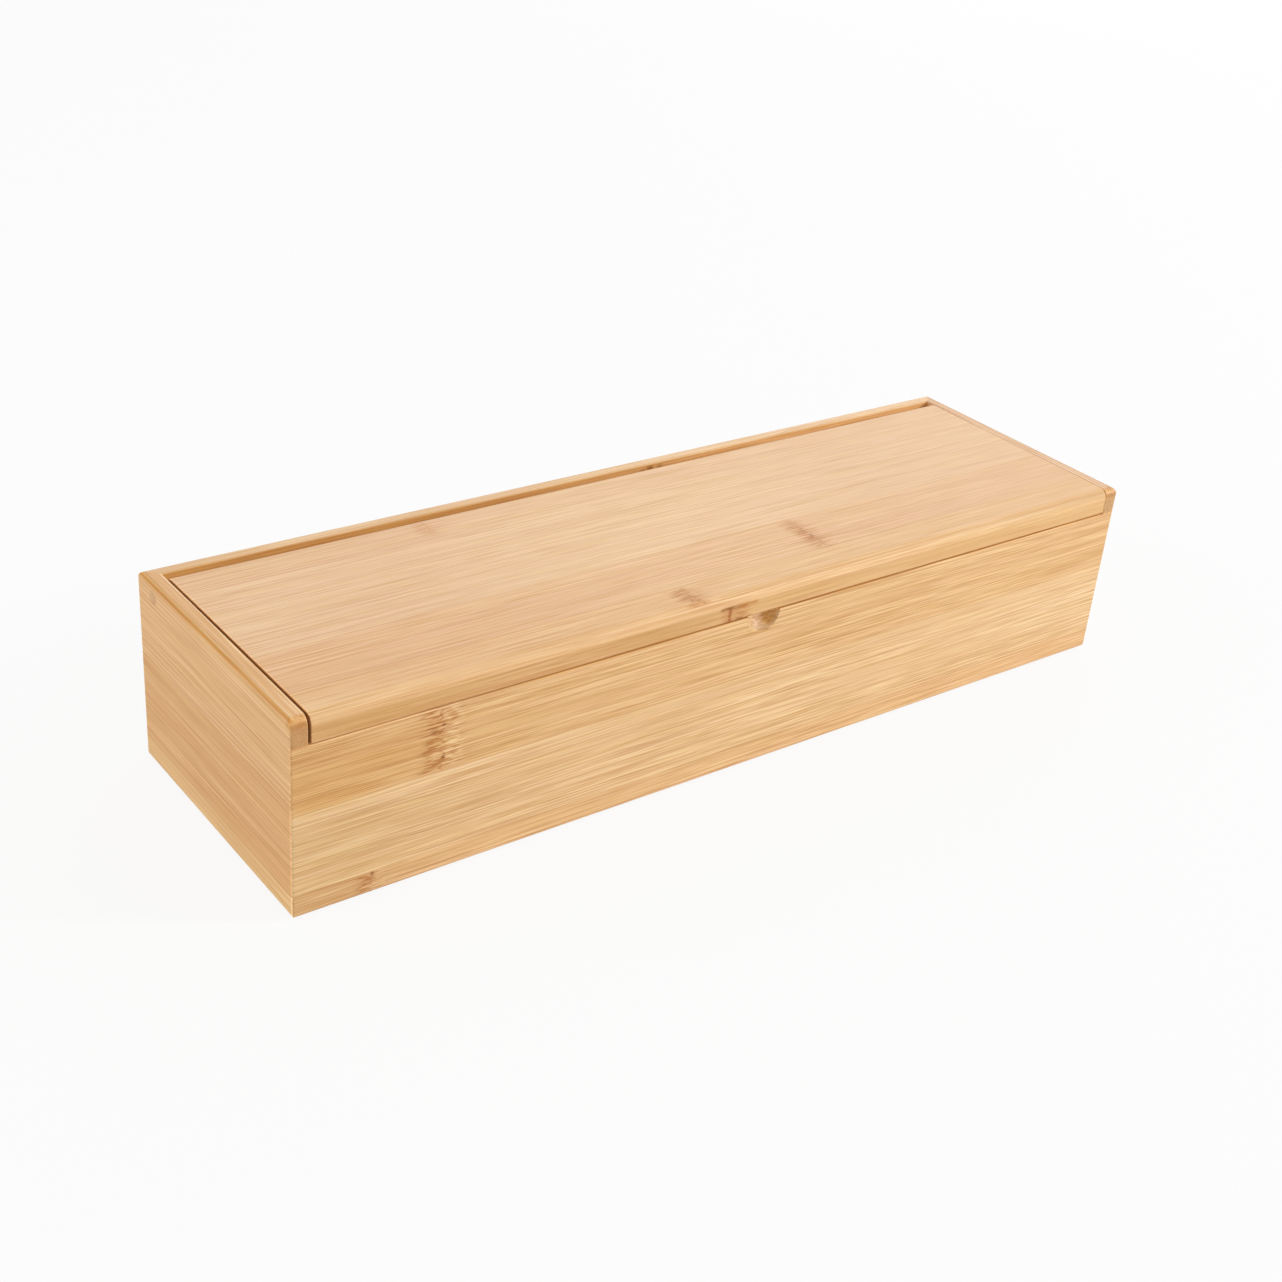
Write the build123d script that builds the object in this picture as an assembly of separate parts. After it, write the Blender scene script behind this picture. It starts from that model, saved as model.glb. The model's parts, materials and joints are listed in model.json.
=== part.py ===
from build123d import *
import os

# Cutlery box of laminated bamboo boards with a lid that turns on two dowels.
# Millimetres. Origin at the middle of the underside, +X along the box, front at -Y, +Z up.

# Overall size
box_length = 300.0
box_depth = 90.0
box_height = 60.0

# Boards
wall_thickness = 5.0
lid_thickness = 8.0
bottom_thickness = 3.0

# Bottom panel in its grooves
rim_height = 3.0
groove_depth = 2.5
groove_end_gap = 0.3
groove_side_gap = 0.05

# Rounded and eased edges
outer_round = 2.0
front_top_round = 3.0
corner_round = 0.6
rim_ease = 0.4
lid_low_ease = 0.25
lid_end_ease = 0.25

# Gaps round the closed lid, and how far it has slid to the right in its end play
lid_end_gap = 0.45
lid_seat_gap = 0.5
lid_back_gap = 0.7
lid_slide = 0.3

# Hinge dowels
pin_diameter = 4.0
pin_reach = 12.0
pin_end_gap = 0.5
pin_point = 0.4
pin_glue_gap = 0.02
pin_running_gap = 0.05

# Thumb scoop in the front wall
scoop_radius = 6.0
scoop_wood_left = 1.5

# Places that follow from the sizes above
half_length = box_length / 2
half_depth = box_depth / 2
inner_x = half_length - wall_thickness
inner_y = half_depth - wall_thickness
front_wall_top = box_height - lid_thickness - lid_seat_gap
lid_radius = lid_thickness / 2
hinge_y = inner_y - lid_back_gap - lid_radius
hinge_z = box_height - lid_radius
lid_end_x = inner_x - lid_end_gap
pin_radius = pin_diameter / 2

STANDING = (Align.CENTER, Align.CENTER, Align.MIN)


def rounded_outline(width):
    """Outline of the closed box from one side, standing on the sketch's first axis."""
    return Pos(0, box_height / 2) * RectangleRounded(width, box_height, outer_round)


def outer_block():
    """The closed box as one block: each set of edges is rounded across its own direction."""
    across_depth = extrude(Plane.XZ * rounded_outline(box_length), half_depth, both=True)
    across_length = extrude(Plane.YZ * rounded_outline(box_depth), half_length, both=True)
    upright = extrude(RectangleRounded(box_length, box_depth, corner_round), box_height)
    return across_depth & across_length & upright


def front_top_waste():
    """Wood that the larger rounding takes off the front top edge, where only the horns reach."""
    corner = Pos(-half_depth, box_height) * Rectangle(2 * front_top_round, 2 * front_top_round)
    kept = Pos(-half_depth + front_top_round, box_height - front_top_round) * Circle(front_top_round)
    return extrude(Plane.YZ * (corner - kept), box_length, both=True)


def carcass():
    """The four walls as one ring, grooved for the bottom and lowered at the front for the lid."""
    cavity = Box(2 * inner_x, 2 * inner_y, box_height, align=STANDING)
    groove = Pos(0, 0, rim_height) * Box(
        2 * (inner_x + groove_depth),
        2 * (inner_y + groove_depth),
        bottom_thickness + 2 * groove_side_gap,
        align=STANDING,
    )
    lid_way = Pos(0, -half_depth, front_wall_top) * Box(
        2 * inner_x, 2 * wall_thickness, box_height, align=STANDING
    )
    return outer_block() - cavity - groove - lid_way - front_top_waste()


def mitre_wedge(half_run, half_width):
    """Plan of one wall on the -Y side, cut at 45 degrees through both of its corners."""
    spare = wall_thickness
    outside = half_width + wall_thickness + spare
    inside = half_width - spare
    plan = Polyline(
        (-half_run - wall_thickness - spare, -outside),
        (half_run + wall_thickness + spare, -outside),
        (half_run - spare, -inside),
        (-half_run + spare, -inside),
        close=True,
    )
    return extrude(make_face(plan), box_height)


def horn_space(side):
    """Room above the front wall's end, which belongs to the end wall on that side."""
    return Pos(side * (inner_x + wall_thickness), -half_depth, front_wall_top) * Box(
        2 * wall_thickness, 2 * wall_thickness, box_height, align=STANDING
    )


def front_wall(ring):
    """Lower front board with a blind scoop that opens at its top edge."""
    wall = ring & mitre_wedge(inner_x, inner_y) - horn_space(-1) - horn_space(1)
    wall = fillet(wall.edges().filter_by(Axis.X).group_by(Axis.Z)[-1], rim_ease)
    depth = wall_thickness - scoop_wood_left
    ball_radius = (scoop_radius**2 + depth**2) / (2 * depth)
    ball_y = -half_depth + depth - ball_radius
    return wall - Pos(0, ball_y, front_wall_top) * Sphere(ball_radius)


def back_wall(ring):
    """Full-height back board; the open lid leans on its inner top edge."""
    wall = ring & Rot(0, 0, 180) * mitre_wedge(inner_x, inner_y)
    top_edges = wall.edges().filter_by(Axis.X).group_by(Axis.Z)[-1]
    return fillet(top_edges.sort_by(Axis.Y)[0], rim_ease)


def end_wall(ring, side):
    """End board: mitred below the lid line, with a square horn above the front wall."""
    wedge = Rot(0, 0, side * 90) * mitre_wedge(inner_y, inner_x)
    wall = ring & (wedge + horn_space(side))
    top_edges = wall.edges().filter_by(Axis.Y).group_by(Axis.Z)[-1]
    wall = fillet(min(top_edges, key=lambda edge: abs(edge.center().X)), rim_ease)
    hole = Pos(side * half_length, hinge_y, hinge_z) * Rot(0, 90, 0) * Cylinder(
        pin_radius + pin_glue_gap, 4 * wall_thickness
    )
    return wall - hole


def bottom_panel():
    """Board that floats in the walls' grooves."""
    reach = groove_depth - groove_end_gap
    return Pos(0, 0, rim_height + groove_side_gap) * Box(
        2 * (inner_x + reach), 2 * (inner_y + reach), bottom_thickness, align=STANDING
    )


def lid():
    """Thick board: rounded front edge, bullnosed back edge about the hinge line."""
    underside = box_height - lid_thickness
    front = -half_depth
    profile = make_face(
        Polyline(
            (hinge_y, underside),
            (front, underside),
            (front, box_height),
            (hinge_y, box_height),
        )
        + ThreePointArc(
            (hinge_y, box_height), (hinge_y + lid_radius, hinge_z), (hinge_y, underside)
        )
    )
    front_top = max(profile.vertices(), key=lambda corner: corner.Y - corner.X)
    profile = fillet(front_top, front_top_round)
    front_low = min(profile.vertices(), key=lambda corner: corner.Y + corner.X)
    profile = fillet(front_low, lid_low_ease)
    board = extrude(Plane.YZ * profile, lid_end_x, both=True)
    ends = board.faces().filter_by(Axis.X)
    board = fillet(ends.edges(), lid_end_ease)
    bore_depth = pin_reach + pin_end_gap
    for side in (-1, 1):
        bore = Pos(side * lid_end_x, hinge_y, hinge_z) * Rot(0, 90, 0) * Cylinder(
            pin_radius + pin_running_gap, 2 * bore_depth
        )
        board -= bore
    return Pos(lid_slide, 0, 0) * board


def hinge_pin(side):
    """Dowel, flush with the end wall's outside, with its inner end pointed a little."""
    length = wall_thickness + lid_end_gap + pin_reach
    dowel = Cylinder(pin_radius, length, align=STANDING)
    dowel = chamfer(dowel.edges().group_by(Axis.Z)[-1], pin_point)
    return Pos(side * half_length, hinge_y, hinge_z) * Rot(0, -side * 90, 0) * dowel


def build():
    """Every piece of the box by name."""
    ring = carcass()
    return {
        "front_wall": front_wall(ring),
        "back_wall": back_wall(ring),
        "left_end_wall": end_wall(ring, -1),
        "right_end_wall": end_wall(ring, 1),
        "bottom_panel": bottom_panel(),
        "lid": lid(),
        "left_hinge_pin": hinge_pin(-1),
        "right_hinge_pin": hinge_pin(1),
    }


os.makedirs("parts", exist_ok=True)
for name, piece in build().items():
    piece.label = name
    export_step(piece, f"parts/{name}.step")
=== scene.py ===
import json
import math

import bpy
from mathutils import Matrix, Vector


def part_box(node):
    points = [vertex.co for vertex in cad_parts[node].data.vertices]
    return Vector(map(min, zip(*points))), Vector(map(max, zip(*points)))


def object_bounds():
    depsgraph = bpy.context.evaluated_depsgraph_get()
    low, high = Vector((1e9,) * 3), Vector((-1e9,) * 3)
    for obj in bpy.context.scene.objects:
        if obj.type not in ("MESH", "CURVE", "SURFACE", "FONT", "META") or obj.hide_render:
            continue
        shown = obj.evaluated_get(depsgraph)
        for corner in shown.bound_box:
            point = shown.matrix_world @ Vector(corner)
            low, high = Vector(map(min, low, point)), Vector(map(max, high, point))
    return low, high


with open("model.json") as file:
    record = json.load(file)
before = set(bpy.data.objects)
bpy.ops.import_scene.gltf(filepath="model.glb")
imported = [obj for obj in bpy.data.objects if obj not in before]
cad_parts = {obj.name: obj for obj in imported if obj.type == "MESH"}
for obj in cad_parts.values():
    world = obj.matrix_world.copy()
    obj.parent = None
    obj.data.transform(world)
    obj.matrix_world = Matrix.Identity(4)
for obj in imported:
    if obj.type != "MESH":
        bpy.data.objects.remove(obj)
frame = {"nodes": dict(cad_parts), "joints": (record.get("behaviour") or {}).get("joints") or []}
cad_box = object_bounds()

# Camera, fitted to the photograph: places in metres, roll in degrees, lens and sensor in millimetres
CAMERA_PLACE = Vector((-0.3249, -0.3942, 0.3017))
CAMERA_TARGET = Vector((-0.0069, 0.0015, 0.0212))
CAMERA_ROLL = 5.10
CAMERA_LENS = 52.67
CAMERA_SENSOR = 36.0
CAMERA_NEAR = 0.01

# Stage: half the floor's side in metres, its paper, its share of plain white, and the world's strength
FLOOR_REACH = 15.0
FLOOR_PAPER = (0.88, 0.88, 0.88, 1.0)
FLOOR_GLOW = 0.88
WORLD_LIGHT = 0.58

# The box's faces, in the millimetres that the materials measure in
MM_PER_M = 1000.0
RIGHT, BACK, TOP = (place * MM_PER_M for place in cad_box[1])
LEFT = -RIGHT
FRONT = -BACK
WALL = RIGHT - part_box("right_end_wall")[0][0] * MM_PER_M
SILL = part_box("front_wall")[1][2] * MM_PER_M
LID_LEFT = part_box("lid")[0][0] * MM_PER_M
LID_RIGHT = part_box("lid")[1][0] * MM_PER_M
LID_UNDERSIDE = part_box("lid")[0][2] * MM_PER_M
HINGE_Y, HINGE_Z = (place * MM_PER_M for place in frame["joints"][0]["pos_m"][1:])

# How far past a face a mark's range ends, so that the whole face lies inside the range
PAST = 1.0

# Heights where the pale of the front corners changes, partly wear and partly painted highlight, and where
# the lid's front face starts to round
WEAR_AND_HIGHLIGHT_CHANGE = 34.0
LID_FACE_TOP = TOP - 3.2

# The seam under the lid, along x: where its shadow is painted over with light at the left, so that it looks
# tight there, and where painted shade deepens it from there on, each with its fade
LIGHTENED_SEAM = (-160.0, -106.0, 16.0)
SHADED_SEAM = (-90.0, 200.0, 20.0)

# Fibres of the grain: length and width in millimetres and a seed, and for the bands their share
FINE_FIBRES = (14, 0.3, 37.1)
FIBRE_LINES = (40, 0.5, 23.9)
PORE_LINES = (26, 0.42, 71.9)
ROSE_LINES = (70, 3.5, 47.7)
AMBER_LINES = (24, 1.1, 13.7)
CALM_PATCHES = (90, 7.0, 91.3)
WIDE_BANDS = ((160, 6.0, 0.0, 0.05), (85, 2.2, 11.3, 0.03), (60, 1.0, 61.7, 0.08))
LINES_SHARE = 0.42
FINE_SHARE = 0.32

# Least and greatest liveliness of the grain, and how strongly pores and glue lines show
LIVELINESS = (0.45, 1.55)
PORE_STRENGTH = 0.45
GLUE_STRENGTH = 0.5

# End grain: its share, and length, width and seed of its layers and its fibre bundles
END_SHARE = 0.85
END_LAYERS = (2.4, 2.4, 0.0)
END_BUNDLES = (6.0, 0.45, 2.7)

# Surface: roughness from one side of a fine fibre to the other, and the bump's strength and metres
ROUGHNESS = (0.41, 0.49)
BUMP_STRENGTH = 0.12
BUMP_HEIGHT = 0.00004

# Tones, red, green and blue, by which the grain and the marks multiply the bamboo under them
PORE = (0.80, 0.67, 0.49)
ROSE = (1.00, 0.98, 1.02)
AMBER = (1.00, 1.00, 0.94)
RUST = (0.70, 0.49, 0.31)
SMUDGE = (0.81, 0.67, 0.55)
BLUSH = (0.92, 0.83, 0.77)
BLEACH = (1.14, 1.29, 1.52)
PIT = (0.50, 0.38, 0.25)
HONEY = (0.88, 0.78, 0.62)
# Pale front corners: partly wear, partly painted highlight where the lamps leave the corner dark
WEAR_AND_HIGHLIGHT = (1.25, 1.33, 1.50)
# Painted light that fills the shadow in the seam under the lid at the left
SEAM_PAINTED_LIGHT = (1.20, 1.32, 1.50)


def tint(red, green, blue):
    """Linear colour from the 0 to 255 values that a screen shows."""
    def linear(value):
        share = value / 255
        return share / 12.92 if share <= 0.04045 else ((share + 0.055) / 1.055) ** 2.4

    return (linear(red), linear(green), linear(blue), 1.0)


def from_top(depth):
    """Range of z that takes in the top of the box, down to a depth."""
    return (TOP - depth, TOP + PAST)


def from_front(depth):
    """Range of y that takes in the front of the box, back to a depth."""
    return (FRONT - PAST, FRONT + depth)


class Nodes:
    """Adds nodes to a material or a world; most methods give back the new node's output."""

    # Places of the colour sockets among all the sockets of a Mix node
    MIX_FIRST = 6
    MIX_SECOND = 7
    MIX_RESULT = 2

    def __init__(self, owner):
        owner.use_nodes = True
        self.tree = owner.node_tree
        self.tree.nodes.clear()

    def add(self, kind, **settings):
        """The new node itself."""
        node = self.tree.nodes.new("ShaderNode" + kind)
        for name, value in settings.items():
            setattr(node, name, value)
        return node

    def put(self, socket, value):
        """Links an output to a socket, or sets the socket to a constant."""
        if isinstance(value, bpy.types.NodeSocket):
            self.tree.links.new(value, socket)
        else:
            socket.default_value = value

    def math(self, operation, *values, clamp=False):
        node = self.add("Math", operation=operation, use_clamp=clamp)
        for socket, value in zip(node.inputs, values):
            self.put(socket, value)
        return node.outputs[0]

    def total(self, *values):
        result = values[0]
        for value in values[1:]:
            result = self.math("ADD", result, value)
        return result

    def times(self, *values):
        result = values[0]
        for value in values[1:]:
            result = self.math("MULTIPLY", result, value)
        return result

    def ramp(self, value, start, end, low=0.0, high=1.0):
        """Smooth step from low to high while value goes from start to end."""
        node = self.add("MapRange", interpolation_type="SMOOTHSTEP")
        for socket, number in zip(node.inputs, (value, start, end, low, high)):
            self.put(socket, number)
        return node.outputs[0]

    def vector(self, x, y, z):
        node = self.add("CombineXYZ")
        for socket, value in zip(node.inputs, (x, y, z)):
            self.put(socket, value)
        return node.outputs[0]

    def noise(self, place, detail=2.0):
        node = self.add("TexNoise")
        self.put(node.inputs["Vector"], place)
        self.put(node.inputs["Scale"], 1.0)
        self.put(node.inputs["Detail"], detail)
        return node.outputs["Fac"]

    def choose(self, index, colours):
        """The colour of that number, for index 0, 1, 2 and so on."""
        node = self.add("ValToRGB")
        bands = node.color_ramp
        bands.interpolation = "CONSTANT"
        while len(bands.elements) < len(colours):
            bands.elements.new(1.0)
        for number, colour in enumerate(colours):
            bands.elements[number].position = number / len(colours)
            bands.elements[number].color = colour
        share = self.math("DIVIDE", self.math("ADD", index, 0.5), len(colours))
        self.put(node.inputs[0], share)
        return node.outputs[0]

    def mix(self, factor, first, second, blend="MIX"):
        node = self.add("Mix", data_type="RGBA", blend_type=blend)
        self.put(node.inputs["Factor"], factor)
        self.put(node.inputs[self.MIX_FIRST], first)
        self.put(node.inputs[self.MIX_SECOND], second)
        return node.outputs[self.MIX_RESULT]

    def shade(self, colour, amount, tone):
        """The colour multiplied by a tone, as far as amount says."""
        return self.mix(amount, colour, (*tone, 1.0), "MULTIPLY")

    def seen(self):
        """1 for rays that see the background itself, straight or in a reflection or glass."""
        rays = self.add("LightPath").outputs
        straight = self.math("MAXIMUM", rays["Is Camera Ray"], rays["Is Glossy Ray"])
        return self.math("MAXIMUM", straight, rays["Is Transmission Ray"])

    def join(self, factor, first, second):
        """One shader that goes over into another."""
        node = self.add("MixShader")
        for socket, value in zip(node.inputs, (factor, first.outputs[0], second.outputs[0])):
            self.put(socket, value)
        return node

    def show(self, shader, output="OutputMaterial"):
        """Sends a shader to the output of the material or the world."""
        self.put(self.add(output).inputs["Surface"], shader.outputs[0])


class Board:
    """Where a point lies on a board: along its grain, across its strips and into its depth."""

    # A strip's edge waves by this reach over this length, and its glue line fades between two offsets
    EDGE_LENGTH = 40
    EDGE_REACH = 0.8
    EDGE_SEED = 5.1
    GLUE_OUTER = 0.22
    GLUE_INNER = 0.05

    # The grain sways by this reach, and each strip takes its grain from another place
    SWAY_LENGTH = 120
    SWAY_WIDTH = 30
    SWAY_REACH = 1.8
    SWAY_SEED = 3.7
    STRIP_SHIFT = 173.0
    LANE_SHIFT = 0.37 * STRIP_SHIFT

    # Detail of the noise, and the noise that counts as the low and the high side of a fibre
    FIBRE_DETAIL = 2.0
    SPOT_DETAIL = 1.5
    FIBRE_LOW = 0.28
    FIBRE_HIGH = 0.72

    def __init__(self, nodes, axes, edges, stretch):
        self.nodes = nodes
        place = nodes.add("TexCoord")
        scaled = nodes.add("VectorMath", operation="SCALE")
        nodes.put(scaled.inputs["Vector"], place.outputs["Object"])
        nodes.put(scaled.inputs["Scale"], MM_PER_M)
        parts = nodes.add("SeparateXYZ")
        nodes.put(parts.inputs[0], scaled.outputs[0])
        facing = nodes.add("SeparateXYZ")
        nodes.put(facing.inputs[0], place.outputs["Normal"])
        self.place = dict(zip("xyz", parts.outputs))
        self.along, self.across, self.deep = (self.place[axis] for axis in axes)
        self.end_facing = nodes.math("ABSOLUTE", facing.outputs["xyz".index(axes[0])])
        self.lay_strips(edges)
        self.lay_grain(stretch)

    def lay_strips(self, edges):
        """Numbers the strips between the edges and finds the glue lines."""
        nodes = self.nodes
        wave = nodes.noise(nodes.vector(nodes.times(self.along, 1 / self.EDGE_LENGTH), 0.0, self.EDGE_SEED))
        level = nodes.total(self.across, nodes.times(wave, self.EDGE_REACH), -self.EDGE_REACH / 2)
        self.strip = nodes.total(0.0, *(nodes.math("GREATER_THAN", level, edge) for edge in edges))
        self.glue = nodes.total(0.0, *(
            nodes.ramp(self.off(level, edge), self.GLUE_OUTER, self.GLUE_INNER) for edge in edges
        ))

    def lay_grain(self, stretch):
        """Finds the place in the grain, along it and across it."""
        nodes = self.nodes
        self.run = nodes.total(
            nodes.times(self.along, 1 / stretch),
            nodes.times(self.strip, self.STRIP_SHIFT),
        )
        sway = nodes.noise(nodes.vector(
            nodes.times(self.run, 1 / self.SWAY_LENGTH),
            nodes.times(self.across, 1 / self.SWAY_WIDTH),
            self.SWAY_SEED,
        ))
        self.lane = nodes.total(
            self.across,
            nodes.times(sway, self.SWAY_REACH),
            nodes.times(self.strip, self.LANE_SHIFT),
        )

    def drawn_out(self, along, across, length, width, seed, detail):
        """Noise of a length and a width, at a place along and across."""
        nodes = self.nodes
        place = nodes.vector(
            nodes.times(along, 1 / length),
            nodes.times(across, 1 / width),
            nodes.total(nodes.times(self.deep, 1 / width), seed),
        )
        return nodes.noise(place, detail)

    def fibres(self, length, width, seed):
        """Noise that follows the grain and the strips, from -1 to 1."""
        noise = self.drawn_out(self.run, self.lane, length, width, seed, self.FIBRE_DETAIL)
        return self.nodes.ramp(noise, self.FIBRE_LOW, self.FIBRE_HIGH, -1.0, 1.0)

    def spots(self, length, width, seed):
        """Noise in blotches that ignore the strips, from 0 to 1."""
        return self.drawn_out(self.along, self.across, length, width, seed, self.SPOT_DETAIL)

    def off(self, value, middle):
        """Distance of a coordinate from a middle."""
        return self.nodes.math("ABSOLUTE", self.nodes.math("SUBTRACT", value, middle))

    def oval(self, middle, half_sizes):
        """Distance from a middle, 1 at the rim of the oval of those half sizes along and across."""
        nodes = self.nodes
        squares = []
        for value, centre, half in zip((self.along, self.across), middle, half_sizes):
            share = nodes.times(self.off(value, centre), 1 / half)
            squares.append(nodes.times(share, share))
        return nodes.math("SQRT", nodes.total(*squares))


class Patch:
    """A soft oval of another tone that follows the grain, by its middle and half sizes."""

    # Length and width of the fibres that fray it and how far they do, and where it fades, by its rim
    FRAYS = (40, 1.4)
    FRAY_REACH = 0.2
    OUTER = 1.15
    INNER = 0.3

    def __init__(self, middle, half_sizes, tone, strength=1.0):
        self.middle, self.half_sizes = middle, half_sizes
        self.tone, self.strength = tone, strength

    def paint(self, nodes, board, colour):
        frays = nodes.times(board.fibres(*self.FRAYS, self.middle[0]), self.FRAY_REACH)
        distance = nodes.total(board.oval(self.middle, self.half_sizes), frays)
        amount = nodes.ramp(distance, self.OUTER, self.INNER, 0.0, self.strength)
        return nodes.shade(colour, amount, self.tone)


class Dot:
    """A small dark pit, by its middle and radius."""

    # Share of the radius that is darkest
    CORE = 0.35

    def __init__(self, middle, radius, strength):
        self.middle, self.radius, self.strength = middle, radius, strength

    def paint(self, nodes, board, colour):
        distance = board.oval(self.middle, (self.radius, self.radius))
        return nodes.shade(colour, nodes.ramp(distance, 1.0, self.CORE, 0.0, self.strength), PIT)


class Knuckle:
    """A node of the cane, by its middle and half sizes: a jagged crack across the strip, and along the
    grain blotches before it, torn teeth after it and dark streaks both ways."""

    # Length and width of each kind of noise, in millimetres
    JAGS = (40, 1.3)
    BLOTCHES = (5.0, 0.55)
    BREAKS = (30, 0.9)
    STREAKS = (18, 0.6)
    TEETH = (3.4, 0.5)

    # Where the crack fades, in millimetres from its middle, and how dark it and the streaks are
    CRACK_OUTER = 0.6
    CRACK_INNER = 0.15
    CRACK_STRENGTH = 0.7
    STREAK_STRENGTH = 0.5

    # Noise between the dark and the pale teeth
    TEETH_LEVEL = 0.48

    def __init__(self, middle, half_sizes, tone, teeth=0.0):
        self.along, self.across = middle
        self.half_along, self.half_across = half_sizes
        self.tone, self.teeth = tone, teeth
        self.seed = 0.31 * self.along

    def paint(self, nodes, board, colour):
        half = self.half_along
        inside = nodes.ramp(board.off(board.across, self.across), self.half_across, 0.88 * self.half_across)
        jag = nodes.times(nodes.total(board.spots(*self.JAGS, self.seed), -0.5), 0.7 * half)
        off = nodes.total(board.along, jag, -self.along)
        from_crack = board.off(off, 0.0)

        stain = nodes.ramp(board.off(off, -0.35 * half), 0.95 * half, 0.15 * half)
        blotches = nodes.ramp(board.spots(*self.BLOTCHES, self.seed + 7.3), 0.44, 0.58)
        colour = nodes.shade(colour, nodes.times(stain, blotches, inside), self.tone)

        crack = nodes.ramp(from_crack, self.CRACK_OUTER, self.CRACK_INNER, 0.0, self.CRACK_STRENGTH)
        broken = nodes.ramp(board.spots(*self.BREAKS, self.seed + 3.1), 0.40, 0.55)
        colour = nodes.shade(colour, nodes.times(crack, broken, inside), self.tone)

        tails = nodes.ramp(from_crack, 3.2 * half, 0.5 * half)
        streaks = nodes.ramp(board.fibres(*self.STREAKS, self.seed), 0.0, 0.9, 0.0, self.STREAK_STRENGTH)
        colour = nodes.shade(colour, nodes.times(tails, streaks, inside), self.tone)

        if self.teeth:
            near = nodes.ramp(board.off(off, 0.55 * half), 0.8 * half, 0.2 * half)
            dashes = board.spots(*self.TEETH, self.seed + 19.1)
            dark_teeth = nodes.ramp(dashes, self.TEETH_LEVEL, 0.34)
            pale_teeth = nodes.ramp(dashes, self.TEETH_LEVEL, 0.60)
            dark = nodes.times(near, inside, dark_teeth, 0.6 * self.teeth)
            pale = nodes.times(near, inside, pale_teeth, self.teeth)
            colour = nodes.shade(colour, dark, self.tone)
            colour = nodes.shade(colour, pale, BLEACH)
        return colour


class Zone:
    """A soft-edged block of another tone, by its ranges of x, y and z; a third number in a range is
    that axis's own softness, and a ragged zone is blotchy."""

    # Length, width and seed of the blotches, and the share of the strength between them
    BLOTCHES = (3.5, 1.0, 8.9)
    LEAST_SHARE = 0.3

    def __init__(self, tone, soft, strength=1.0, ragged=False, **ranges):
        self.tone, self.soft, self.strength = tone, soft, strength
        self.ragged, self.ranges = ragged, ranges

    def paint(self, nodes, board, colour):
        amount = self.strength
        if self.ragged:
            least = self.LEAST_SHARE * self.strength
            amount = nodes.ramp(board.spots(*self.BLOTCHES), 0.3, 0.6, least, self.strength)
        for axis, (low, high, *own) in self.ranges.items():
            value = board.place[axis]
            soft = own[0] if own else self.soft
            amount = nodes.times(
                nodes.ramp(value, low - soft, low + soft),
                nodes.ramp(value, high + soft, high - soft),
                amount,
            )
        return nodes.shade(colour, amount, self.tone)


def grain(nodes, board, pale, deep, figure, bands, calm):
    """Colour of the grain between each strip's pale and deep tone, then its fine fibres and its lines."""
    fine = board.fibres(*FINE_FIBRES)
    lines = board.fibres(*FIBRE_LINES)
    swing = nodes.total(
        *(nodes.times(board.fibres(*fibre), share * bands) for *fibre, share in WIDE_BANDS),
        nodes.times(lines, LINES_SHARE),
        nodes.times(fine, FINE_SHARE),
    )
    least, most = (share * figure for share in LIVELINESS)
    liveliness = nodes.ramp(board.fibres(*CALM_PATCHES), -1.0, 1.0, least, most)
    kept = nodes.ramp(board.along, 0.0, RIGHT, 1.0, calm)
    depth = nodes.math("ADD", nodes.times(swing, liveliness, kept), 0.5, clamp=True)
    pale_colour = nodes.choose(board.strip, [tint(*colour) for colour in pale])
    deep_colour = nodes.choose(board.strip, [tint(*colour) for colour in deep])
    colour = nodes.mix(depth, pale_colour, deep_colour)
    colour = nodes.shade(colour, nodes.ramp(board.fibres(*ROSE_LINES), -1.0, 1.0), ROSE)
    colour = nodes.shade(colour, nodes.ramp(board.fibres(*AMBER_LINES), -1.0, 1.0), AMBER)
    pores = nodes.ramp(board.fibres(*PORE_LINES), 0.35, 0.8, 0.0, PORE_STRENGTH * figure)
    colour = nodes.shade(colour, nodes.times(pores, kept), PORE)
    return colour, fine, lines


def end_grain(nodes, board, colour, end_colour):
    """The colour with end grain on the faces that look along the grain: layers and fibre bundles."""
    layers = nodes.ramp(board.spots(*END_LAYERS), 0.35, 0.65, 0.0, 0.4)
    bundles = nodes.ramp(board.spots(*END_BUNDLES), 0.50, 0.62, 0.0, 0.7)
    end_tone = nodes.shade(tint(*end_colour), layers, PORE)
    end_tone = nodes.shade(end_tone, bundles, PORE)
    return nodes.mix(nodes.ramp(board.end_facing, 0.75, 0.95, 0.0, END_SHARE), colour, end_tone)


def bamboo(name, axes, edges, pale, deep, figure=1.0, bands=1.0, calm=1.0, stretch=1.2, gloss=0.3,
           marks=(), end_colour=(194, 147, 101)):
    """Laminated bamboo: strips between edges across the board, each with a pale and a deep tone.
    axes names the directions along, across and into the board, figure is how strongly the grain
    shows, bands how strong its wide lines are, calm the share of the grain left at the right end,
    stretch how long its lines are, and marks are painted over it in turn."""
    material = bpy.data.materials.new(name)
    nodes = Nodes(material)
    board = Board(nodes, axes, edges, stretch)
    colour, fine, lines = grain(nodes, board, pale, deep, figure, bands, calm)
    colour = end_grain(nodes, board, colour, end_colour)
    colour = nodes.shade(colour, nodes.times(board.glue, GLUE_STRENGTH), PORE)
    for mark in marks:
        colour = mark.paint(nodes, board, colour)

    bump = nodes.add("Bump")
    nodes.put(bump.inputs["Strength"], BUMP_STRENGTH)
    nodes.put(bump.inputs["Distance"], BUMP_HEIGHT)
    nodes.put(bump.inputs["Height"], nodes.total(fine, lines))
    shader = nodes.add("BsdfPrincipled")
    nodes.put(shader.inputs["Base Color"], colour)
    nodes.put(shader.inputs["Roughness"], nodes.ramp(fine, -1.0, 1.0, *ROUGHNESS))
    nodes.put(shader.inputs["Specular IOR Level"], gloss)
    nodes.put(shader.inputs["Normal"], bump.outputs[0])
    nodes.show(shader)
    return material


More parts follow.
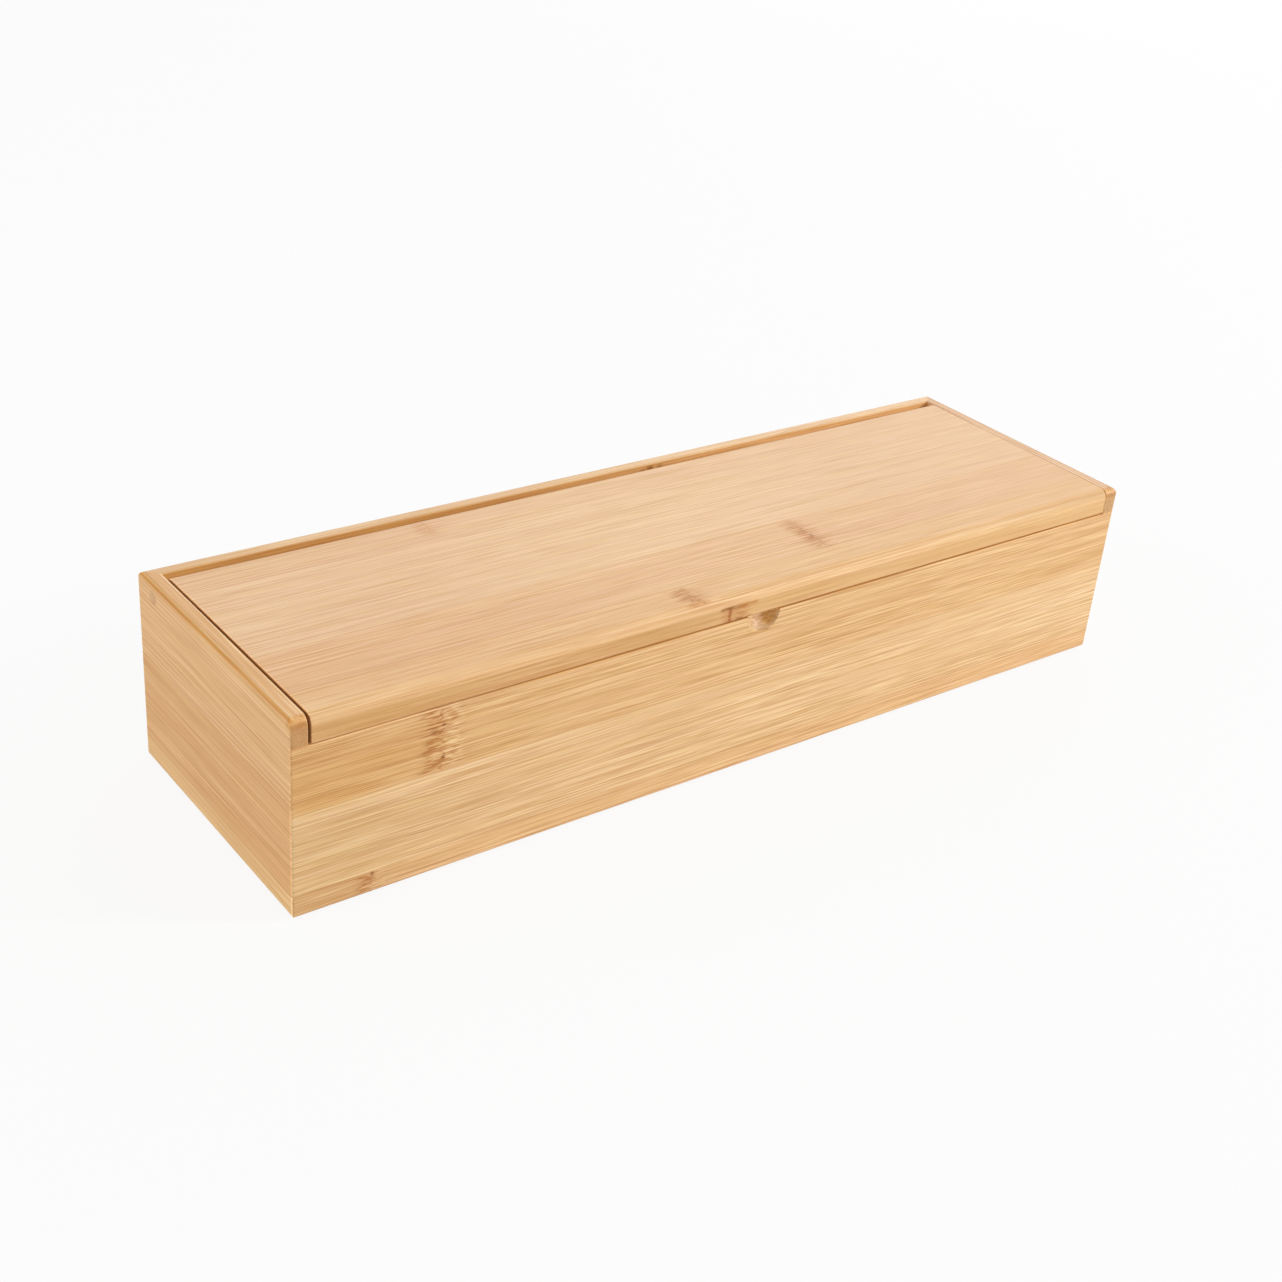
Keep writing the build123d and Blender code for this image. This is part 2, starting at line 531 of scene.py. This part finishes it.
def front_bamboo():
    """Front wall: three strips, a rusty knuckle near the left end and a small one below it, duller to the
    left, a left corner painted pale, partly wear and partly painted highlight, painted shade in the seam
    under the lid with painted light over it at the left, and a scoop with painted shade all over and a
    deeper orange painted shadow on its right."""
    dull_strip = (0.90, 0.88, 0.82)
    dull_foot = (0.89, 0.87, 0.83)
    pale_line = (1.07, 1.11, 1.20)
    pale_right = (1.02, 1.05, 1.10)
    wear_and_highlight_above = (1.15, 1.20, 1.22)
    seam_shade = (0.93, 0.80, 0.56)
    scoop_shade = (0.86, 0.89, 0.98)
    scoop_painted_shadow = (0.97, 0.78, 0.42)
    corner = (LEFT - PAST, LEFT + 0.35)
    scoop_half = 7.0
    return bamboo(
        "front_bamboo", "xzy", [7.5, 32.0],
        [(245, 206, 153), (247, 213, 163), (243, 203, 149)],
        [(219, 170, 115), (222, 177, 124), (217, 168, 111)],
        figure=1.25,
        marks=[
            Patch((LEFT, 42.0), (66.0, 13.0), HONEY, 0.75),
            Patch((LEFT, 19.0), (70.0, 14.0), dull_strip, 0.9),
            Patch((LEFT, 3.5), (48.0, 6.0), dull_foot),
            Patch((-136.0, 34.2), (26.0, 2.4), HONEY, 0.8),
            Patch((-124.0, 30.6), (42.0, 1.7), pale_line),
            Patch((122.0, 20.0), (42.0, 11.0), pale_right, 0.9),
            Knuckle((-107.0, 42.0), (6.0, 10.0), RUST, 1.0),
            Dot((-106.4, 36.2), 0.8, 0.9),
            Dot((-106.3, 46.2), 0.8, 0.6),
            Dot((-109.4, 45.0), 1.6, 0.3),
            Knuckle((-127.5, 3.8), (4.5, 3.6), RUST, 0.6),
            Dot((-127.0, 6.6), 0.9, 0.8),
            # The left corner painted pale: partly wear, partly painted highlight
            Zone(WEAR_AND_HIGHLIGHT, 0.2, x=corner, z=(6.0, WEAR_AND_HIGHLIGHT_CHANGE)),
            Zone(wear_and_highlight_above, 0.2, x=corner, z=(WEAR_AND_HIGHLIGHT_CHANGE, SILL + PAST)),
            # Painted shade on the wall's top edge in the seam, and painted light over the seam's shadow at
            # the left
            Zone(seam_shade, 0.15, x=SHADED_SEAM, y=from_front(0.7), z=(SILL - 0.2, SILL + PAST)),
            Zone(SEAM_PAINTED_LIGHT, 0.2, x=LIGHTENED_SEAM, y=from_front(1.1), z=(SILL - 0.3, SILL + PAST)),
            # Painted shade over the whole scoop, then a deeper orange painted shadow on its right side,
            # turned away from the lamp on the right
            Zone(
                scoop_shade, 0.3,
                x=(-scoop_half, scoop_half), y=(FRONT + 0.4, FRONT + 4.0), z=(SILL - 7.5, SILL - 0.2),
            ),
            Zone(
                scoop_painted_shadow, 0.5,
                x=(1.6, scoop_half, 0.9), y=(FRONT + 0.6, FRONT + WALL), z=(SILL - 5.0, SILL + 1.5, 1.2),
            ),
        ],
        end_colour=(230, 190, 148),
    )


def back_bamboo():
    """Back wall: the inner face of its top strip shows behind the lid, orange partly by its tone and partly
    by painted shade, deeper to the left, with painted sheen on its outer top edge and a few pits where a
    knuckle comes through."""
    deep_orange_and_shade = (0.76, 0.64, 0.40)
    pale_orange_and_shade = (0.93, 0.86, 0.68)
    rim_painted_sheen = (1.02, 1.05, 1.10)
    inner_face = BACK - WALL
    shown_face = (inner_face - PAST, inner_face + 0.5)
    shown_height = (TOP - 10.0, TOP)
    # Middle, half length, half height and strength of each pit
    pits = [(21.4, 58.5, 1.2, 0.7, 0.9), (18.5, 57.8, 0.7, 0.6, 0.6), (25.2, 58.3, 1.0, 0.7, 0.6)]
    return bamboo(
        "back_bamboo", "xzy", [18.0, 41.0],
        [(244, 198, 142), (248, 208, 158), (246, 208, 162)],
        [(218, 166, 108), (224, 178, 124), (228, 182, 130)],
        marks=[
            # The inner face behind the lid: orange tone and painted shade, deeper to the left
            Zone(deep_orange_and_shade, 0.4, x=(-300.0, 30.0, 60.0), y=shown_face, z=shown_height),
            Zone(pale_orange_and_shade, 0.4, x=(30.0, 300.0, 60.0), y=shown_face, z=shown_height),
            # Painted sheen on the outer top edge
            Zone(rim_painted_sheen, 0.5, y=(BACK - 2.2, BACK - 0.8), z=from_top(0.5)),
            Knuckle((21.5, 50.2), (4.0, 9.0), SMUDGE, 0.4),
            Knuckle((84.0, 29.5), (5.0, 11.0), SMUDGE, 0.6),
            Knuckle((-92.0, 9.0), (4.5, 8.5), RUST, 0.6),
            *(
                Zone(
                    PIT, 0.5, strength,
                    x=(x - half_length, x + half_length, 0.8),
                    y=(inner_face - PAST, inner_face + 0.6),
                    z=(z - half_height, z + half_height),
                )
                for x, z, half_length, half_height, strength in pits
            ),
        ],
    )


def end_bamboo(name, side, top_tone, layer_tone, layer_width, own_marks=()):
    """End wall on one side, -1 for the left and 1 for the right: four strips, a top of another tone with a
    layer along its rounded outer edge, painted light on the round beside that, painted light on its inner
    rim, and its front corner painted pale, partly wear and partly painted highlight."""
    pale_line = (1.10, 1.10, 1.07)
    dark_corner = (0.92, 0.82, 0.64)
    wear_and_highlight_above = (1.10, 1.09, 1.08)
    inner_rim_painted_light = (1.06, 1.08, 1.13)

    def inward(near, far):
        """Range of x between two distances inward from the wall's outer face."""
        return sorted((side * (RIGHT - near), side * (RIGHT - far)))

    return bamboo(
        name, "yzx", [7.5, 14.5, 35.0],
        [(250, 210, 147), (244, 196, 135), (241, 193, 133), (248, 204, 148)],
        [(232, 182, 119), (225, 167, 103), (223, 165, 104), (227, 174, 116)],
        figure=1.15,
        bands=2.6,
        stretch=1.6,
        gloss=0.2,
        marks=[
            Zone(top_tone, 0.3, z=from_top(0.6)),
            Zone(layer_tone, 0.25, x=inward(-PAST, layer_width), z=from_top(0.9)),
            # Painted light on the rounded outer edge just inside the layer, where the round turns away from
            # the lamps
            Zone(
                pale_line, 0.3,
                x=inward(layer_width + 0.2, layer_width + 0.9),
                y=(FRONT + 3.0, BACK + PAST),
                z=from_top(2.0),
            ),
            Zone(dark_corner, 0.5, 0.9, y=from_front(2.2), z=from_top(2.8)),
            # The front corner painted pale: partly wear, partly painted highlight
            Zone(WEAR_AND_HIGHLIGHT, 0.3, y=from_front(0.8), z=(-PAST, WEAR_AND_HIGHLIGHT_CHANGE)),
            Zone(wear_and_highlight_above, 0.3, y=from_front(0.8), z=(WEAR_AND_HIGHLIGHT_CHANGE, SILL + 0.5)),
            # Painted light on the inner top rim, so the gap beside the lid looks lighter
            Zone(inner_rim_painted_light, 0.2, x=inward(WALL - 0.9, WALL + 0.5), z=from_top(0.8)),
            *own_marks,
        ],
        end_colour=(200, 151, 101),
    )


def left_end_bamboo():
    """Left end wall: a pale top and a thin orange layer along its outer edge."""
    pale_top = (1.03, 1.09, 1.24)
    orange_layer = (0.88, 0.68, 0.36)
    return end_bamboo("left_end_bamboo", -1, pale_top, orange_layer, 1.1)


def right_end_bamboo():
    """Right end wall: a rosy top, a greyer layer along its outer edge, a pale front and a knuckle."""
    rosy_top = (0.92, 0.97, 1.20)
    grey_layer = (0.88, 0.90, 0.93)
    pale_front = (1.06, 1.14, 1.26)
    own_marks = [
        Zone(pale_front, 0.4, y=from_front(0.6), z=(SILL, SILL + 6.1)),
        Knuckle((14.0, 24.7), (4.5, 9.8), SMUDGE, 0.5),
    ]
    return end_bamboo("right_end_bamboo", 1, rosy_top, grey_layer, 2.4, own_marks)


def bottom_bamboo():
    """Bottom panel: four strips with a few knuckles."""
    return bamboo(
        "bottom_bamboo", "xyz", [-22.0, 4.0, 25.0],
        [(244, 200, 148), (248, 208, 158), (242, 198, 146), (246, 206, 154)],
        [(220, 168, 112), (224, 178, 124), (218, 166, 110), (222, 172, 118)],
        marks=[
            Knuckle((58.0, -9.0), (5.0, 12.5), SMUDGE, 0.5),
            Knuckle((-96.0, 14.5), (4.5, 10.0), SMUDGE, 0.5),
            Knuckle((-18.0, -31.0), (4.0, 8.5), BLUSH, 0.4),
        ],
    )


def lid_bamboo():
    """Lid: five strips and pinkish knuckles, painted light over its left part, and marks of its front edge
    and its ends.
    """
    left_painted_light = (1.03, 1.04, 1.08)
    pale_middle = (1.04, 1.06, 1.06)
    return bamboo(
        "lid_bamboo", "xyz", [-33.0, -13.0, 7.0, 28.0],
        [(245, 205, 156), (244, 203, 158), (246, 209, 166), (246, 209, 166), (245, 206, 164)],
        [(228, 180, 127), (227, 179, 130), (231, 187, 141), (231, 187, 141), (230, 185, 140)],
        figure=1.05,
        bands=1.9,
        calm=0.55,
        gloss=0.16,
        marks=[
            # Painted light over the left part of the lid
            Patch((LEFT, 0.0), (190.0, 75.0), left_painted_light),
            Patch((-5.0, 10.0), (80.0, 60.0), pale_middle),
            *lid_front_marks(),
            *lid_front_knuckle(),
            *lid_end_marks(),
            Patch((33.8, -23.5), (5.0, 12.0), BLUSH),
            Knuckle((34.0, -23.5), (5.0, 10.5), SMUDGE, 0.3),
            Dot((34.0, -25.0), 1.0, 0.5),
            Patch((-22.5, -39.0), (6.0, 6.0), BLUSH),
            Knuckle((-22.5, -38.8), (6.0, 5.4), SMUDGE, 0.3),
            Dot((-24.3, -41.2), 0.7, 0.5),
            Patch((-67.0, 30.0), (5.0, 6.0), BLUSH, 0.5),
            Knuckle((-66.0, 32.0), (4.0, 4.0), BLUSH),
        ],
        end_colour=(172, 124, 80),
    )


def lid_front_marks():
    """The lid's front edge: darker than its top, most at the left, with painted shade along the seam and
    painted light over the seam's shadow at the left, and painted shade on its rounding at the right against
    the lamp's highlight.
    """
    face_tone = (0.87, 0.82, 0.71)
    left_tone = (0.91, 0.86, 0.78)
    dusk_tone = (0.93, 0.89, 0.84)
    right_tone = (1.06, 1.10, 1.12)
    rounding_painted_shade = (0.80, 0.76, 0.66)
    seam_shade = (0.94, 0.85, 0.68)
    below = LID_UNDERSIDE - PAST
    return [
        Zone(face_tone, 0.2, y=from_front(0.5), z=(below, LID_FACE_TOP)),
        Patch((LEFT, FRONT), (75.0, 0.8), left_tone),
        Zone(dusk_tone, 0.3, x=(-50.0, -18.0, 14.0), y=from_front(0.4), z=(below, LID_FACE_TOP - 0.2)),
        Patch((RIGHT, FRONT), (150.0, 0.8), right_tone),
        # Painted shade on the rounding at the right, where the lamp on the right puts a highlight
        Zone(
            rounding_painted_shade, 0.4,
            x=(90.0, 300.0, 60.0), y=(FRONT - 0.2, FRONT + 1.6), z=(TOP - 2.5, TOP - 0.6),
        ),
        # Painted shade on the lid's lower edge in the seam, and painted light over the seam's shadow at the
        # left
        Zone(seam_shade, 0.15, x=SHADED_SEAM, y=from_front(1.0), z=(below, LID_UNDERSIDE + 0.1)),
        Zone(SEAM_PAINTED_LIGHT, 0.1, x=LIGHTENED_SEAM, y=from_front(1.1), z=(below, LID_UNDERSIDE + 0.15)),
    ]


def lid_front_knuckle():
    """The knuckle that the lid's front edge cuts through: two dark rims, a stain and a crack, and painted
    shade on the lower edge where the seam opens by the scoop.
    """
    dark_rim = (0.48, 0.33, 0.23)
    brown_rim = (0.80, 0.62, 0.45)
    stain = (0.80, 0.64, 0.52)
    crack = (0.66, 0.38, 0.29)
    seam_opening_shade = (0.64, 0.47, 0.30)
    rim_depth = from_front(1.4)
    face_depth = from_front(1.6)
    below = LID_UNDERSIDE - PAST
    return [
        Zone(dark_rim, 0.5, ragged=True, x=(-16.5, -10.0), y=rim_depth, z=(56.0, LID_FACE_TOP)),
        Zone(brown_rim, 0.6, ragged=True, x=(-10.0, -3.0), y=rim_depth, z=(55.6, LID_FACE_TOP)),
        Zone(stain, 1.6, ragged=True, x=(-15.5, -6.5), y=face_depth, z=(below, 57.0)),
        Zone(crack, 0.5, ragged=True, x=(-13.5, -12.6), y=face_depth, z=(below, 56.0)),
        # Painted shade on the lid's lower edge where the seam opens by the scoop
        Zone(seam_opening_shade, 0.6, ragged=True, x=(-11.0, -5.0), y=face_depth, z=(below, 52.6)),
    ]


def lid_end_marks():
    """The lid's ends: painted shade in the gap at the left under an edge of painted light, painted light on
    the end towards the back so the gap looks thinner there, and painted light on the right end's edge.
    """
    gap_painted_shade = (0.82, 0.66, 0.46)
    edge_painted_light = (1.30, 1.27, 1.16)
    back_painted_light = (1.40, 1.65, 2.05)
    right_tone = (1.18, 1.18, 1.18)
    outside = LID_LEFT - PAST
    edge_depth = 0.55
    return [
        # Painted shade in the left gap, and painted light on the edge above it and on the end towards the
        # back
        Zone(gap_painted_shade, 0.15, x=(outside, LID_LEFT + 0.15), z=(TOP - 1.4, TOP - edge_depth)),
        Zone(edge_painted_light, 0.2, x=(outside, LID_LEFT + 0.25), z=from_top(edge_depth)),
        Zone(back_painted_light, 0.12, x=(outside, LID_LEFT + 0.05), y=(22.0, 100.0, 16.0), z=from_top(1.4)),
        # Painted light on the right end's edge, so the right gap looks lighter
        Zone(right_tone, 0.15, x=(LID_RIGHT - 0.35, LID_RIGHT + PAST), z=from_top(0.6)),
    ]


def dowel_bamboo():
    """Hinge dowels: only their ends show, with painted shade on the rim at the front and below, where the
    plug's edge casts a shadow line.
    """
    pale = (240, 196, 146)
    deep = (216, 168, 116)
    rim_outer = 2.5
    rim_inner = 1.2
    return bamboo(
        "dowel_bamboo", "xyz", [0.0], [pale, pale], [deep, deep],
        marks=[
            # Painted shade on the rim at the front and below
            Zone(PORE, 0.5, 0.5, y=(HINGE_Y - rim_outer, HINGE_Y - rim_inner)),
            Zone(PORE, 0.5, 0.5, z=(HINGE_Z - rim_outer, HINGE_Z - rim_inner)),
        ],
        end_colour=(229, 183, 132),
    )


def dress(node, material):
    """Gives a CAD node one material."""
    mesh = frame["nodes"][node].data
    mesh.materials.clear()
    mesh.materials.append(material)


def lay_floor():
    """White floor that keeps a soft shadow."""
    material = bpy.data.materials.new("floor_white")
    nodes = Nodes(material)
    paper = nodes.add("BsdfDiffuse")
    nodes.put(paper.inputs["Color"], FLOOR_PAPER)
    glow = nodes.add("Emission")
    nodes.show(nodes.join(nodes.times(nodes.seen(), FLOOR_GLOW), paper, glow))
    mesh = bpy.data.meshes.new("floor")
    corners = [(x * FLOOR_REACH, y * FLOOR_REACH, 0) for x, y in ((-1, -1), (1, -1), (1, 1), (-1, 1))]
    mesh.from_pydata(corners, [], [(0, 1, 2, 3)])
    mesh.materials.append(material)
    floor = bpy.data.objects.new("floor", mesh)
    bpy.context.scene.collection.objects.link(floor)


def surround():
    """Even white light, and plain white where the surroundings themselves are seen."""
    world = bpy.data.worlds.new("studio")
    bpy.context.scene.world = world
    nodes = Nodes(world)
    light = nodes.add("Background")
    white = nodes.add("Background")
    for node, strength in ((light, WORLD_LIGHT), (white, 1.0)):
        nodes.put(node.inputs["Color"], (1.0, 1.0, 1.0, 1.0))
        nodes.put(node.inputs["Strength"], strength)
    nodes.show(nodes.join(nodes.seen(), light, white), "OutputWorld")


def hang_lamp(name, place, target, side, power):
    """A square soft lamp that faces the target, in metres and watts."""
    light = bpy.data.lights.new(name, "AREA")
    light.size = side
    light.energy = power
    lamp = bpy.data.objects.new(name, light)
    lamp.location = place
    aim = Vector(target) - Vector(place)
    lamp.rotation_euler = aim.to_track_quat("-Z", "Y").to_euler()
    bpy.context.scene.collection.objects.link(lamp)


def set_camera():
    """Camera at the photograph's place, turned about its own axis by the photograph's tilt."""
    view = bpy.data.cameras.new("camera")
    view.lens = CAMERA_LENS
    view.sensor_width = CAMERA_SENSOR
    view.clip_start = CAMERA_NEAR
    holder = bpy.data.objects.new("camera", view)
    aim = (CAMERA_TARGET - CAMERA_PLACE).to_track_quat("-Z", "Y").to_matrix().to_4x4()
    roll = Matrix.Rotation(math.radians(CAMERA_ROLL), 4, "Z")
    holder.matrix_world = Matrix.Translation(CAMERA_PLACE) @ aim @ roll
    bpy.context.scene.collection.objects.link(holder)
    bpy.context.scene.camera = holder


dowel = dowel_bamboo()
finishes = {
    "front_wall": front_bamboo(),
    "back_wall": back_bamboo(),
    "left_end_wall": left_end_bamboo(),
    "right_end_wall": right_end_bamboo(),
    "bottom_panel": bottom_bamboo(),
    "lid": lid_bamboo(),
    "left_hinge_pin": dowel,
    "right_hinge_pin": dowel,
}
for node_name, finish in finishes.items():
    dress(node_name, finish)
lay_floor()
surround()
hang_lamp("key", place=(1.85, -1.20, 0.85), target=(0.0, 0.0, 0.03), side=0.3, power=34.0)
hang_lamp("left", place=(-1.20, 0.45, 0.60), target=(-0.15, 0.0, 0.03), side=0.7, power=3.7)
hang_lamp("rear", place=(1.45, 1.20, 0.80), target=(0.05, 0.0, 0.05), side=1.0, power=5.5)
set_camera()
bpy.context.scene.view_settings.view_transform = "Standard"
